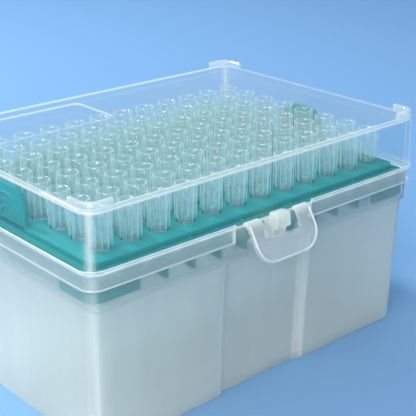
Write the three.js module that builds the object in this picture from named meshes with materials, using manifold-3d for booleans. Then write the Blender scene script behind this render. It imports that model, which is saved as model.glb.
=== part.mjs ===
// A hinged box of ninety-six pipette tips. Millimetres, +Z up, X along the twelve columns,
// the latch at -Y and the lid's hinge at +Y. The origin is the centre of the underside.
import * as THREE from 'three';
import { mergeVertices } from 'three/addons/utils/BufferGeometryUtils.js';
import Module from 'manifold-3d';

const wasm = await Module();
wasm.setup();

// ---- Driving dimensions -------------------------------------------------------------------

// Tip grid
const PITCH = 9;
const COLUMNS = 12;
const ROWS = 8;
const GRID_SHIFT = 1.3;            // how far the grid stands off the box's middle, towards +X
const OUTER_ROWS = 2;              // rows of separate tips at the front and at the back

// Base: a tapering tub with a wider band round its rim
const END_GAP = 0.3;               // between the last column's collars and the grip tab
const SIDE_MARGIN = 10.45;         // from the outer rows' axes to the band's outer face
const BAND_RADIUS = 3.6;
const BAND_HEIGHT = 9.5;
const RIM_Z = 50.8;
const SHOULDER_RISE = 0.5;
const SHOULDER_STEP = 0.8;
const END_TAPER = 0.4;             // how far an end wall leans in from shoulder to floor
const SIDE_TAPER = 2;              // the same for a long side's wall
const BASE_WALL = 1.4;
const BASE_FLOOR = 1.6;
const FOOT_CHAMFER = 0.8;
const RECESS_HALF = 16.3;          // half the width of the panel let into each long side
const RECESS_SLANT = 3;
const RECESS_DEPTH = 1.4;

// Lid
const LID_GAP = 0.25;              // between the band and the skirt round it
const LID_SEAT = 0.3;              // between the rim and the ledge that sits on it
const LID_ROOM = 3.5;              // between the tips' collars and the lid over them
const SKIRT_WALL = 1.0;
const SKIRT_OVERLAP = 3.6;
const LID_WALL = 1.4;
const LID_TOP = 1.3;
const LID_TAPER = 0.35;
const LID_LEDGE = 0.35;            // how far the lid's wall reaches in over the rim
const LID_CHAMFER = 1.0;
const BEAD_RISE = 0.9;             // the bead's lower edge above the rim
const BEAD_HEIGHT = 0.9;
const BEAD_OUT = 0.2;
const LUG_HEIGHT = 1.9;
const LUG_LEG = 8;
const LUG_WALL = 1.5;
const LUG_INSET = 0.1;
const LABEL_LENGTH = 45.6;
const LABEL_WIDTH = 20.5;
const LABEL_FROM_END = 5.9;        // from the lid's outer wall at -X
const LABEL_FROM_BACK = 8;         // from the lid's outer wall at +Y
const LABEL_RADIUS = 2.5;
const LABEL_LINE = 0.8;
const LABEL_RISE = 0.3;

// Tips
const TIP_LENGTH = 50;
const COLLAR_HEIGHT = 10.1;
const COLLAR_RADIUS = 3.1;
const COLLAR_STEP = 0.55;          // from the collar down to the shaft under it
const MOUTH_WALL = 0.55;
const NECK_RADIUS = 1.35;          // where the slender end begins
const NECK_UP = 19;                // height of that place above the orifice
const TIP_WALL = 0.4;
const ORIFICE_RADIUS = 0.45;
const ORIFICE_BORE = 0.25;
const TIP_SIDES = 8;
const TIP_GAP = 0.3;               // between a collar and the platform under it

// Tray
const TRAY_GAP = 0.3;
const PLATE = 1.5;
const PLATE_RISE = 1.6;            // the platform's top above the base's rim
const PLATFORM_INSET = 1.8;        // from the tray's outer edge to the raised platform
const PLATFORM_RADIUS = 2.8;
const FLANGE = 1.2;
const TRAY_SKIRT_WALL = 1.2;
const TRAY_SKIRT_DEPTH = 3.7;
const FOOT_LENGTH_X = 13.8;
const FOOT_LENGTH_Y = 13;
const GUSSET = 1.1;
const GUSSET_GAP = 0.4;            // between a gusset and the hole behind it
const HOLE_GAP = 0.35;             // between a hole and the shaft in it
const HOLE_SIDES = 10;
const TAB_HALF = 8.3;
const TAB_RISE = 10;
const TAB_WALL = 1.4;
const TAB_RADIUS = 5.5;

// Lid hinge: lugs with pins on the base, split knuckles on the lid
const HINGE_X = 35;
const HINGE_GAP = 0.55;            // between the band and the knuckles
const HINGE_BELOW = 0.5;           // pin axis, below the skirt's edge
const PIN_RADIUS = 1.5;
const PIN_GAP = 0.3;
const PIN_SNAP = 0.3;              // how much narrower than the pin its split is, each side
const KNUCKLE_WALL = 1.1;
const KNUCKLE_HALF = 6.2;
const EAR_WALL = 2;
const EAR_GAP = 0.3;
const EAR_RIM = 0.3;               // material of an ear round its pin
const STOP_DROP = 14;              // degrees that the stop points below level while shut
const STOP_WALL = 1.4;

// Latch: a flap on two arms at the lid's front, held by a catch that stands on the base
const ARM_OUTER = 11.5;
const ARM_FLARE = 0.9;             // how far the window widens up to the arms' roots
const ARM_RISE = 1.8;              // the arms' upper face above the base's rim
const ARM_GAP = 0.3;
const FLAP_WALL = 1.05;
const FLAP_REACH = 6.55;           // how far the flap's foot stands out from the arms' root
const FLAP_DROP = 11.1;            // from the arms' upper face to the flap's foot
const FLAP_CORNER = 6;
const FLAP_RIM = 0.9;
const FLAP_RIM_OUT = 0.35;
const NOTCH_GAP = 2.6;             // between the flap and the ends of the skirt beside it
const WINDOW_DROP = 4.3;           // from the arms' upper face to the window's lower edge
const WINDOW_GAP = 2.6;            // between the catch and the window's sides
const CATCH_HALF = 2.4;            // half the width of the catch's head
const CATCH_NECK_HALF = 3.1;
const CATCH_RISE = 2.6;            // the head's top above the base's rim
const CATCH_NECK_DROP = 0.3;       // where the head meets the wider neck, below the rim
const CATCH_BITE = 0.53;           // how far the nose hooks over the flap's crossbar
const CATCH_UNDER = 0.8;           // between the window's lower edge and the nose above it

const CORNER_STEPS = 5;
const OVERCUT = 1;                 // how far a cutter runs past the face that it opens

// ---- Sizes that follow --------------------------------------------------------------------

const columnX = (column) => (column - (COLUMNS - 1) / 2) * PITCH + GRID_SHIFT;
const rowY = (row) => ((ROWS - 1) / 2 - row) * PITCH;
const tabInnerX = columnX(COLUMNS - 1) + COLLAR_RADIUS + END_GAP;
const bandHalfX = tabInnerX + TAB_WALL + PLATFORM_INSET + TRAY_GAP + BASE_WALL;
const bandHalfY = rowY(0) + SIDE_MARGIN;
const shoulderZ = RIM_Z - BAND_HEIGHT;
const trayHalfX = bandHalfX - BASE_WALL - TRAY_GAP;
const trayHalfY = bandHalfY - BASE_WALL - TRAY_GAP;
const trayRadius = BAND_RADIUS - BASE_WALL - TRAY_GAP;
const ledgeZ = shoulderZ + BASE_WALL;
const plateTopZ = RIM_Z + PLATE_RISE;
const plateUnderZ = plateTopZ - PLATE;
const flangeZ = plateUnderZ - FLANGE;
const platformHalfX = trayHalfX - PLATFORM_INSET;
const platformHalfY = trayHalfY - PLATFORM_INSET;
const skirtHalfX = bandHalfX + LID_GAP + SKIRT_WALL;
const skirtHalfY = bandHalfY + LID_GAP + SKIRT_WALL;
const skirtRadius = BAND_RADIUS + LID_GAP + SKIRT_WALL;
const skirtZ = RIM_Z - SKIRT_OVERLAP;
const seatZ = RIM_Z + LID_SEAT;
const wallHalfX = bandHalfX - LID_LEDGE + LID_WALL;
const wallHalfY = bandHalfY - LID_LEDGE + LID_WALL;
const wallRadius = BAND_RADIUS - LID_LEDGE + LID_WALL;
const shaftRadius = COLLAR_RADIUS - COLLAR_STEP;
const holeRadius = shaftRadius + HOLE_GAP;
const collarZ = plateTopZ + TIP_GAP;
const lidTopZ = collarZ + COLLAR_HEIGHT + LID_ROOM + LID_TOP;
const knuckleRadius = PIN_RADIUS + PIN_GAP + KNUCKLE_WALL;
const earRadius = PIN_RADIUS + EAR_RIM;
const pinY = bandHalfY + HINGE_GAP + knuckleRadius;
const pinZ = skirtZ - HINGE_BELOW;
const armRootY = -(wallHalfY + ARM_GAP);
const overallHalfY = FLAP_REACH + FLAP_RIM_OUT - armRootY;
const armTopZ = RIM_Z + ARM_RISE;
const flapFootZ = armTopZ - FLAP_DROP;
const windowZ = armTopZ - WINDOW_DROP;
const windowHalf = CATCH_NECK_HALF + WINDOW_GAP;
const notchHalf = ARM_OUTER + NOTCH_GAP;

// ---- Geometry helpers ---------------------------------------------------------------------

const toSolid = (geometry) => {
  const bare = geometry.clone();
  bare.deleteAttribute('normal');
  bare.deleteAttribute('uv');
  const merged = mergeVertices(bare, 1e-4);
  return new wasm.Manifold(new wasm.Mesh({
    numProp: 3,
    vertProperties: new Float32Array(merged.attributes.position.array),
    triVerts: new Uint32Array(merged.index.array),
  }));
};

const toGeometry = (solid) => {
  const mesh = solid.getMesh();
  const geometry = new THREE.BufferGeometry();
  geometry.setAttribute('position', new THREE.BufferAttribute(mesh.vertProperties, 3));
  geometry.setIndex(new THREE.BufferAttribute(mesh.triVerts, 1));
  geometry.computeVertexNormals();
  return geometry;
};

const joined = (solids) => solids.reduce((whole, piece) => whole.add(piece));

const box = (x0, x1, y0, y1, z0, z1) => toSolid(
  new THREE.BoxGeometry(x1 - x0, y1 - y0, z1 - z0)
    .translate((x0 + x1) / 2, (y0 + y1) / 2, (z0 + z1) / 2),
);

// A level ring of points round a rectangle with rounded corners.
const ring = (halfX, halfY, radius, z) => {
  const points = [];
  const corners = [[1, -1, -90], [1, 1, 0], [-1, 1, 90], [-1, -1, 180]];
  for (const [sx, sy, start] of corners) {
    for (let step = 0; step <= CORNER_STEPS; step += 1) {
      const angle = THREE.MathUtils.degToRad(start + (90 * step) / CORNER_STEPS);
      points.push(new THREE.Vector3(
        sx * (halfX - radius) + radius * Math.cos(angle),
        sy * (halfY - radius) + radius * Math.sin(angle),
        z,
      ));
    }
  }
  return points;
};

// A closed solid through a stack of level rings, lowest first, each counter-clockwise.
const loft = (rings) => {
  const count = rings[0].length;
  const positions = rings.flat().flatMap((point) => point.toArray());
  const index = [];
  for (let level = 0; level + 1 < rings.length; level += 1) {
    for (let k = 0; k < count; k += 1) {
      const a = level * count + k;
      const b = level * count + ((k + 1) % count);
      index.push(a, b, b + count, a, b + count, a + count);
    }
  }
  const top = (rings.length - 1) * count;
  for (let k = 1; k + 1 < count; k += 1) {
    index.push(0, k + 1, k);
    index.push(top, top + k, top + k + 1);
  }
  const geometry = new THREE.BufferGeometry();
  geometry.setAttribute('position', new THREE.Float32BufferAttribute(positions, 3));
  geometry.setIndex(index);
  return toSolid(geometry);
};

const extruded = (shape, depth, curveSegments = CORNER_STEPS) => (
  new THREE.ExtrudeGeometry(shape, { depth, bevelEnabled: false, curveSegments })
);

const outline = (points) => new THREE.Shape(points.map(([u, v]) => new THREE.Vector2(u, v)));

// A side profile of (y, z) points, run along X from x0 to x1.
const alongX = (shape, x0, x1) => {
  const turn = new THREE.Matrix4().makeBasis(
    new THREE.Vector3(0, 1, 0),
    new THREE.Vector3(0, 0, 1),
    new THREE.Vector3(1, 0, 0),
  );
  return toSolid(extruded(shape, x1 - x0).applyMatrix4(turn).translate(x0, 0, 0));
};

// A front outline of (x, z) points, run along Y from y0 to y1.
const alongY = (shape, y0, y1) => {
  const turn = new THREE.Matrix4().makeBasis(
    new THREE.Vector3(1, 0, 0),
    new THREE.Vector3(0, 0, 1),
    new THREE.Vector3(0, -1, 0),
  );
  return toSolid(extruded(shape, y1 - y0).applyMatrix4(turn).translate(0, y1, 0));
};

const discAlongX = (radius, y, z, x0, x1, sides = 12) => toSolid(
  new THREE.CylinderGeometry(radius, radius, x1 - x0, sides)
    .rotateZ(Math.PI / 2)
    .translate((x0 + x1) / 2, y, z),
);

const hingeStations = [-HINGE_X, HINGE_X];

// The flap's side view: out along the arms, over the fold and down the leaning flap.
const flapSpine = () => {
  const drop = armTopZ - flapFootZ;
  return [
    [0, 0],
    [0.2, 0.02],
    [0.32, 0.08],
    [0.42, 0.17],
    [0.61, 0.34],
    [0.78, 0.54],
    [0.89, 0.71],
    [0.97, 0.88],
    [1, 1],
  ].map(([out, down]) => new THREE.Vector2(armRootY - out * FLAP_REACH, armTopZ - down * drop));
};

// The inner face of the flap's crossbar, at the height of the window's lower edge.
const crossbarY = () => {
  const spine = flapSpine();
  const below = spine.findIndex((point) => point.y <= windowZ);
  const run = spine[below].clone().sub(spine[below - 1]);
  const along = (windowZ - spine[below - 1].y) / run.y;
  return spine[below - 1].x + along * run.x + (FLAP_WALL * run.length()) / Math.abs(run.y);
};

// ---- Base ---------------------------------------------------------------------------------

// The half width of the tub's body at a height, outside or one wall further in.
const bodyHalf = (half, taper, z, inset) => (
  half - SHOULDER_STEP - inset - taper * (1 - z / shoulderZ)
);

const bodyRing = (z, inset) => ring(
  bodyHalf(bandHalfX, END_TAPER, z, inset),
  bodyHalf(bandHalfY, SIDE_TAPER, z, inset),
  BAND_RADIUS - inset,
  z,
);

// The shape that the long sides' panel takes out of a wall, from z0 to z1.
const recess = (side, z0, z1, inset) => {
  const wide = RECESS_HALF + RECESS_SLANT;
  const narrow = RECESS_HALF - RECESS_SLANT;
  const level = (z) => {
    const wall = bodyHalf(bandHalfY, SIDE_TAPER, z, inset);
    const points = [
      [-wide, -(wall + RECESS_DEPTH)],
      [wide, -(wall + RECESS_DEPTH)],
      [narrow, -(wall - RECESS_DEPTH)],
      [-narrow, -(wall - RECESS_DEPTH)],
    ];
    return points.map(([x, y]) => new THREE.Vector3(side * x, side * y, z));
  };
  return loft([level(z0), level(z1)]);
};

const hingeEars = () => hingeStations.flatMap((x) => {
  const inner = KNUCKLE_HALF + EAR_GAP;
  const outer = inner + EAR_WALL;
  const profile = outline([
    [bandHalfY - BASE_WALL / 2, shoulderZ + SHOULDER_RISE],
    [bandHalfY, shoulderZ + SHOULDER_RISE],
    [pinY, pinZ - earRadius],
    [pinY, pinZ + HINGE_BELOW / 2],
    [bandHalfY - BASE_WALL / 2, pinZ + HINGE_BELOW / 2],
  ]);
  return [
    alongX(profile, x - outer, x - inner),
    alongX(profile, x + inner, x + outer),
    discAlongX(earRadius, pinY, pinZ, x - outer, x - inner),
    discAlongX(earRadius, pinY, pinZ, x + inner, x + outer),
    discAlongX(PIN_RADIUS, pinY, pinZ, x - outer + EAR_WALL / 2, x + outer - EAR_WALL / 2),
  ];
});

// The catch: a nosed head on a wider neck that rises from the band, in the latch's window.
const latchCatch = () => {
  const headTopZ = RIM_Z + CATCH_RISE;
  const neckTopZ = RIM_Z - CATCH_NECK_DROP;
  const under = windowZ + CATCH_UNDER;
  const inside = -(bandHalfY - BASE_WALL / 2);
  const nose = crossbarY() - CATCH_BITE;
  const profile = outline([
    [inside, under - 3.8],
    [armRootY + 0.2, under - 3.2],
    [nose + 2.1, under - 1.4],
    [nose + 1.3, under],
    [nose + 0.25, under],
    [nose, under + 0.4],
    [nose, headTopZ - 0.7],
    [nose + 0.6, headTopZ],
    [nose + 2.6, headTopZ],
    [armRootY, headTopZ - 0.4],
    [armRootY, neckTopZ],
    [inside, neckTopZ],
  ].reverse());
  const face = outline([
    [-CATCH_NECK_HALF + 0.5, shoulderZ],
    [CATCH_NECK_HALF - 0.5, shoulderZ],
    [CATCH_NECK_HALF, windowZ],
    [CATCH_NECK_HALF, neckTopZ - 0.6],
    [CATCH_HALF, neckTopZ],
    [CATCH_HALF, headTopZ + OVERCUT],
    [-CATCH_HALF, headTopZ + OVERCUT],
    [-CATCH_HALF, neckTopZ],
    [-CATCH_NECK_HALF, neckTopZ - 0.6],
    [-CATCH_NECK_HALF, windowZ],
  ]);
  return alongX(profile, -CATCH_NECK_HALF, CATCH_NECK_HALF)
    .intersect(alongY(face, nose - OVERCUT, inside + OVERCUT));
};

const makeBase = () => {
  const bandRing = (z, inset) => ring(
    bandHalfX - inset,
    bandHalfY - inset,
    BAND_RADIUS - inset,
    z,
  );
  const outside = loft([
    ring(
      bodyHalf(bandHalfX, END_TAPER, 0, FOOT_CHAMFER),
      bodyHalf(bandHalfY, SIDE_TAPER, 0, FOOT_CHAMFER),
      BAND_RADIUS - FOOT_CHAMFER,
      0,
    ),
    bodyRing(FOOT_CHAMFER, 0),
    bodyRing(shoulderZ, 0),
    bandRing(shoulderZ + SHOULDER_RISE, 0),
    bandRing(RIM_Z, 0),
  ]);
  const inside = loft([
    bodyRing(BASE_FLOOR, BASE_WALL),
    bodyRing(ledgeZ, BASE_WALL),
    bandRing(ledgeZ, BASE_WALL),
    bandRing(RIM_Z + OVERCUT, BASE_WALL),
  ]);
  const outerPanels = [1, -1].map((side) => recess(side, -OVERCUT, shoulderZ, 0));
  const innerPanels = [1, -1].map((side) => recess(side, 0, ledgeZ, BASE_WALL));
  const shell = outside
    .subtract(joined(outerPanels))
    .subtract(inside.subtract(joined(innerPanels)));
  return joined([shell, ...hingeEars(), latchCatch()]);
};

// ---- Lid ----------------------------------------------------------------------------------

const stackingLugs = () => {
  const out = LID_TAPER + LUG_INSET;
  const lugRing = (inset, z) => ring(
    wallHalfX - out - inset,
    wallHalfY - out - inset,
    wallRadius - inset,
    z,
  );
  const z0 = lidTopZ - LID_TOP / 2;
  const z1 = lidTopZ + LUG_HEIGHT;
  const border = loft([lugRing(0, z0), lugRing(0.2, z1)])
    .subtract(loft([lugRing(LUG_WALL, z0 - OVERCUT), lugRing(LUG_WALL, z1 + OVERCUT)]));
  const corners = [[1, 1], [1, -1], [-1, 1], [-1, -1]].map(([sx, sy]) => {
    const x = [sx * (wallHalfX - out - LUG_LEG), sx * wallHalfX].sort((a, b) => a - b);
    const y = [sy * (wallHalfY - out - LUG_LEG), sy * wallHalfY].sort((a, b) => a - b);
    return box(...x, ...y, z0 - OVERCUT, z1 + OVERCUT);
  });
  return border.intersect(joined(corners));
};

const labelFrame = () => {
  const middleX = LABEL_FROM_END + LABEL_LENGTH / 2 - wallHalfX;
  const middleY = wallHalfY - LABEL_FROM_BACK - LABEL_WIDTH / 2;
  const z0 = lidTopZ - LID_TOP / 2;
  const z1 = lidTopZ + LABEL_RISE;
  const step = (inset, z) => ring(
    LABEL_LENGTH / 2 - inset,
    LABEL_WIDTH / 2 - inset,
    LABEL_RADIUS - inset,
    z,
  ).map((point) => point.add(new THREE.Vector3(middleX, middleY, 0)));
  return loft([step(0, z0), step(0, z1)])
    .subtract(loft([step(LABEL_LINE, z0 - OVERCUT), step(LABEL_LINE, z1 + OVERCUT)]));
};

// The tail that meets the band when the lid is fully open, cut off level with the latch.
const hingeStop = (x0, x1) => {
  const drop = THREE.MathUtils.degToRad(STOP_DROP);
  const reach = (overallHalfY - pinY - (STOP_WALL / 2) * Math.sin(drop)) / Math.cos(drop);
  const tail = new THREE.BoxGeometry(x1 - x0, reach, STOP_WALL)
    .translate(0, reach / 2, 0)
    .rotateX(-drop)
    .translate((x0 + x1) / 2, pinY, pinZ);
  return toSolid(tail);
};

const hingeKnuckles = () => hingeStations.flatMap((x) => {
  const x0 = x - KNUCKLE_HALF;
  const x1 = x + KNUCKLE_HALF;
  const web = outline([
    [skirtHalfY - SKIRT_WALL, skirtZ],
    [pinY, pinZ],
    [pinY + knuckleRadius * 0.5, pinZ + knuckleRadius * 0.8],
    [skirtHalfY - SKIRT_WALL / 2, skirtZ + SKIRT_OVERLAP],
    [skirtHalfY - SKIRT_WALL, skirtZ + SKIRT_OVERLAP],
  ]);
  const knuckle = joined([
    discAlongX(knuckleRadius, pinY, pinZ, x0, x1),
    alongX(web, x0, x1),
    hingeStop(x0, x1),
  ]);
  const bore = discAlongX(PIN_RADIUS + PIN_GAP, pinY, pinZ, x0 - OVERCUT, x1 + OVERCUT);
  const mouth = box(
    x0 - OVERCUT,
    x1 + OVERCUT,
    pinY - (PIN_RADIUS - PIN_SNAP),
    pinY + (PIN_RADIUS - PIN_SNAP),
    pinZ - knuckleRadius - OVERCUT,
    pinZ,
  );
  return knuckle.subtract(bore).subtract(mouth);
});

const makeLid = () => {
  const beadZ = RIM_Z + BEAD_RISE;
  const beadTop = beadZ + BEAD_HEIGHT;
  const skirtRing = (out, z) => ring(skirtHalfX + out, skirtHalfY + out, skirtRadius + out, z);
  const wallRing = (inset, z) => ring(
    wallHalfX - inset,
    wallHalfY - inset,
    wallRadius - inset,
    z,
  );
  const outside = loft([
    skirtRing(0, skirtZ),
    skirtRing(0, beadZ),
    skirtRing(BEAD_OUT, beadZ),
    skirtRing(BEAD_OUT, beadTop),
    wallRing(0, beadTop),
    wallRing(LID_TAPER, lidTopZ - LID_CHAMFER),
    wallRing(LID_TAPER + LID_CHAMFER * 0.3, lidTopZ - LID_CHAMFER * 0.3),
    wallRing(LID_TAPER + LID_CHAMFER, lidTopZ),
  ]);
  const inside = loft([
    skirtRing(-SKIRT_WALL, skirtZ - OVERCUT),
    skirtRing(-SKIRT_WALL, seatZ),
    wallRing(LID_WALL, seatZ),
    wallRing(LID_WALL + LID_TAPER, lidTopZ - LID_TOP),
  ]);
  const reach = skirtHalfY + OVERCUT;
  const notch = box(-notchHalf, notchHalf, -reach, OVERCUT - bandHalfY, skirtZ - OVERCUT, seatZ);
  const beadGap = box(-notchHalf, notchHalf, -reach, -wallHalfY, seatZ - OVERCUT, beadTop);
  return joined([
    outside.subtract(inside).subtract(notch).subtract(beadGap),
    stackingLugs(),
    labelFrame(),
    ...hingeKnuckles(),
  ]);
};

// ---- Tray ---------------------------------------------------------------------------------

const holePunches = () => {
  const punches = [];
  for (let row = 0; row < ROWS; row += 1) {
    for (let column = 0; column < COLUMNS; column += 1) {
      const hole = new THREE.Path();
      hole.absarc(columnX(column), rowY(row), holeRadius, 0, Math.PI * 2, true);
      punches.push(hole);
    }
  }
  return punches;
};

// The platform with its holes, drawn as one shape and raised into a plate.
const platform = () => {
  const edge = ring(platformHalfX, platformHalfY, PLATFORM_RADIUS, 0);
  const shape = new THREE.Shape(edge.map((point) => new THREE.Vector2(point.x, point.y)));
  shape.holes = holePunches();
  return toSolid(extruded(shape, PLATE, HOLE_SIDES / 2).translate(0, 0, plateUnderZ));
};

const gripTab = (side) => {
  const top = plateUnderZ + TAB_RISE + PLATE;
  const shape = new THREE.Shape();
  shape.moveTo(-TAB_HALF, plateUnderZ);
  shape.lineTo(TAB_HALF, plateUnderZ);
  shape.lineTo(TAB_HALF, top - TAB_RADIUS);
  shape.absarc(TAB_HALF - TAB_RADIUS, top - TAB_RADIUS, TAB_RADIUS, 0, Math.PI / 2, false);
  shape.absarc(TAB_RADIUS - TAB_HALF, top - TAB_RADIUS, TAB_RADIUS, Math.PI / 2, Math.PI, false);
  const x1 = side > 0 ? platformHalfX : TAB_WALL - platformHalfX;
  return alongX(shape, x1 - TAB_WALL, x1);
};

const trayFeet = () => {
  const foot = ledgeZ + TRAY_GAP;
  return [[1, 1], [1, -1], [-1, 1], [-1, -1]].map(([sx, sy]) => {
    const x = [sx * (trayHalfX - FOOT_LENGTH_X), sx * trayHalfX].sort((a, b) => a - b);
    const y = [sy * (trayHalfY - FOOT_LENGTH_Y), sy * trayHalfY].sort((a, b) => a - b);
    return box(...x, ...y, foot, flangeZ + FLANGE / 2);
  });
};

// Ribs from the skirt in towards the front and back rows, between the columns, short of the feet.
const gussets = () => {
  const outer = trayHalfY - TRAY_SKIRT_WALL / 2;
  const inner = -rowY(ROWS - 1) + holeRadius + GUSSET_GAP;
  const ribs = [];
  for (let column = 0; column < COLUMNS - 1; column += 1) {
    const x = columnX(column) + PITCH / 2;
    if (Math.abs(x) < trayHalfX - FOOT_LENGTH_X) {
      const z0 = ledgeZ + TRAY_GAP;
      ribs.push(box(x - GUSSET / 2, x + GUSSET / 2, -outer, -inner, z0, plateUnderZ + PLATE / 2));
      ribs.push(box(x - GUSSET / 2, x + GUSSET / 2, inner, outer, z0, plateUnderZ + PLATE / 2));
    }
  }
  return ribs;
};

const makeTray = () => {
  const edgeRing = (inset, z) => ring(
    trayHalfX - inset,
    trayHalfY - inset,
    trayRadius - Math.min(inset, trayRadius / 2),
    z,
  );
  const skirtWall = (z0, z1) => loft([edgeRing(0, z0), edgeRing(0, z1)]).subtract(
    loft([edgeRing(TRAY_SKIRT_WALL, z0 - OVERCUT), edgeRing(TRAY_SKIRT_WALL, z1 + OVERCUT)]),
  );
  const flange = loft([edgeRing(0, flangeZ), edgeRing(0, plateUnderZ)]).subtract(
    loft([
      edgeRing(PLATFORM_INSET + PLATE, flangeZ - OVERCUT),
      edgeRing(PLATFORM_INSET + PLATE, plateUnderZ + OVERCUT),
    ]),
  );
  const feet = skirtWall(ledgeZ + TRAY_GAP, flangeZ + FLANGE / 2).intersect(joined(trayFeet()));
  return joined([
    platform(),
    flange,
    skirtWall(flangeZ - TRAY_SKIRT_DEPTH, flangeZ + FLANGE / 2),
    feet,
    gripTab(1),
    gripTab(-1),
    ...gussets(),
  ]);
};

// ---- Tips ---------------------------------------------------------------------------------

// One tip turned about its own axis, its orifice at z = 0.
const makeTip = () => {
  const collar = TIP_LENGTH - COLLAR_HEIGHT;
  const profile = [
    [ORIFICE_RADIUS, 0],
    [NECK_RADIUS, NECK_UP],
    [shaftRadius, collar],
    [COLLAR_RADIUS, collar],
    [COLLAR_RADIUS, TIP_LENGTH],
    [COLLAR_RADIUS - MOUTH_WALL, TIP_LENGTH],
    [shaftRadius - TIP_WALL, collar],
    [NECK_RADIUS - TIP_WALL, NECK_UP],
    [ORIFICE_BORE, 0],
    [ORIFICE_RADIUS, 0],
  ].map(([radius, z]) => new THREE.Vector2(radius, z));
  const turned = new THREE.LatheGeometry(profile, TIP_SIDES).rotateX(Math.PI / 2);
  return toGeometry(toSolid(turned));
};

// The tips kept as separate pieces: the outer rows whole, and the ends of the rows between.
const isOuterTip = (row, column) => (
  row < OUTER_ROWS || row >= ROWS - OUTER_ROWS || column === 0 || column === COLUMNS - 1
);

// ---- Latch --------------------------------------------------------------------------------

// The flap's spine given a thickness inward, and raised outward by a rim's height.
const bentStrip = (inward, outward) => {
  const spine = flapSpine();
  const offset = (distance) => spine.map((point, k) => {
    const before = spine[Math.max(k - 1, 0)];
    const after = spine[Math.min(k + 1, spine.length - 1)];
    const run = after.clone().sub(before).normalize();
    return new THREE.Vector2(point.x + distance * run.y, point.y - distance * run.x);
  });
  const side = new THREE.Shape([...offset(outward), ...offset(-inward).reverse()]);
  return alongX(side, -ARM_OUTER, ARM_OUTER);
};

// The flap's front view with rounded lower corners, drawn in from its free edges.
const flapFace = (inset) => {
  const half = ARM_OUTER - inset;
  const foot = flapFootZ + inset;
  const radius = FLAP_CORNER - inset;
  const top = armTopZ + OVERCUT;
  const shape = new THREE.Shape();
  shape.moveTo(half, top);
  shape.lineTo(-half, top);
  shape.absarc(radius - half, foot + radius, radius, Math.PI, Math.PI * 1.5, false);
  shape.absarc(half - radius, foot + radius, radius, Math.PI * 1.5, Math.PI * 2, false);
  return shape;
};

const makeLatch = () => {
  const far = -(overallHalfY + OVERCUT);
  const near = armRootY + OVERCUT;
  const top = armTopZ + OVERCUT;
  const whole = alongY(flapFace(0), far, near);
  const edge = whole
    .subtract(alongY(flapFace(FLAP_RIM), far - OVERCUT, near + OVERCUT))
    .subtract(box(-ARM_OUTER, ARM_OUTER, far, near, windowZ, top));
  const opening = outline([
    [-windowHalf, windowZ],
    [windowHalf, windowZ],
    [windowHalf + ARM_FLARE, top],
    [-windowHalf - ARM_FLARE, top],
  ]);
  const trimmed = box(-ARM_OUTER, ARM_OUTER, -overallHalfY, armRootY, flapFootZ, top);
  return bentStrip(FLAP_WALL, 0)
    .intersect(whole)
    .subtract(alongY(opening, far - OVERCUT, near + OVERCUT))
    .add(bentStrip(FLAP_WALL, FLAP_RIM_OUT).intersect(edge))
    .intersect(trimmed);
};

// ---- Materials and assembly ---------------------------------------------------------------

const plastic = (color, roughness, opacity) => new THREE.MeshStandardMaterial({
  color,
  roughness,
  metalness: 0,
  transparent: opacity < 1,
  opacity,
});

const frostedBase = plastic('#c6d6da', 0.5, 0.8);
const clearLid = plastic('#e3eef0', 0.2, 0.35);
const tealTray = plastic('#2fa5a2', 0.35, 1);
const clearTip = plastic('#d3e6e6', 0.2, 0.5);
const clearLatch = plastic('#dfe8ea', 0.25, 0.6);

const piece = (name, geometry, material) => {
  const mesh = new THREE.Mesh(geometry, material);
  mesh.name = name;
  return mesh;
};

const tipBox = new THREE.Group();
tipBox.add(piece('base', toGeometry(makeBase()), frostedBase));
tipBox.add(piece('tray', toGeometry(makeTray()), tealTray));
tipBox.add(piece('lid', toGeometry(makeLid()), clearLid));
tipBox.add(piece('latch', toGeometry(makeLatch()), clearLatch));

const tipGeometry = makeTip();
for (let row = 0; row < ROWS; row += 1) {
  for (let column = 0; column < COLUMNS; column += 1) {
    if (isOuterTip(row, column)) {
      const name = `tip_${String.fromCharCode(65 + row)}${column + 1}`;
      const tip = piece(name, tipGeometry, clearTip);
      tip.position.set(columnX(column), rowY(row), collarZ - (TIP_LENGTH - COLLAR_HEIGHT));
      tipBox.add(tip);
    }
  }
}

export default tipBox;
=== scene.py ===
"""A hinged box of ninety-six pipette tips, laid out as an add-on and run as a script.

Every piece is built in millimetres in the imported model's own frame: X along the twelve
columns, the latch at -Y, the lid's hinge at +Y, and the underside of the base at Z = 0.
"""

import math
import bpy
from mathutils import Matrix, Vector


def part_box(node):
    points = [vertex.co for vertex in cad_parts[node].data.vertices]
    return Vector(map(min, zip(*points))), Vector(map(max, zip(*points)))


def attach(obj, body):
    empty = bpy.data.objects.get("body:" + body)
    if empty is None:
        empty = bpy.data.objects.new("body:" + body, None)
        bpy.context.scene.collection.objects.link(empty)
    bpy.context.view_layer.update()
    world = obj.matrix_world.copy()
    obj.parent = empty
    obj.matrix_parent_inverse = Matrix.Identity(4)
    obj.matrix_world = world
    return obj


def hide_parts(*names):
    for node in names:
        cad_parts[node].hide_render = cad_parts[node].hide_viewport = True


bl_info = {
    "name": "Box of pipette tips",
    "version": (1, 0, 0),
    "blender": (4, 5, 0),
    "location": "View3D > Sidebar > Tip box",
    "description": "Builds a hinged polypropylene box with its tray, latch and ninety-six tips",
    "category": "Object",
}

import bmesh
import bpy
from mathutils import Matrix, Vector

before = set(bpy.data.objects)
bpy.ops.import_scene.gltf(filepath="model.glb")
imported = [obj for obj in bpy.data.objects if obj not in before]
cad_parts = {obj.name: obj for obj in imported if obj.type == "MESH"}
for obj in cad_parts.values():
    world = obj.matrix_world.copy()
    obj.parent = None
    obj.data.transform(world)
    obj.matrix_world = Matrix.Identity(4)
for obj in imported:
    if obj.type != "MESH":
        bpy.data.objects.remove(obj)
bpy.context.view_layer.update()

MM = 0.001


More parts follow.
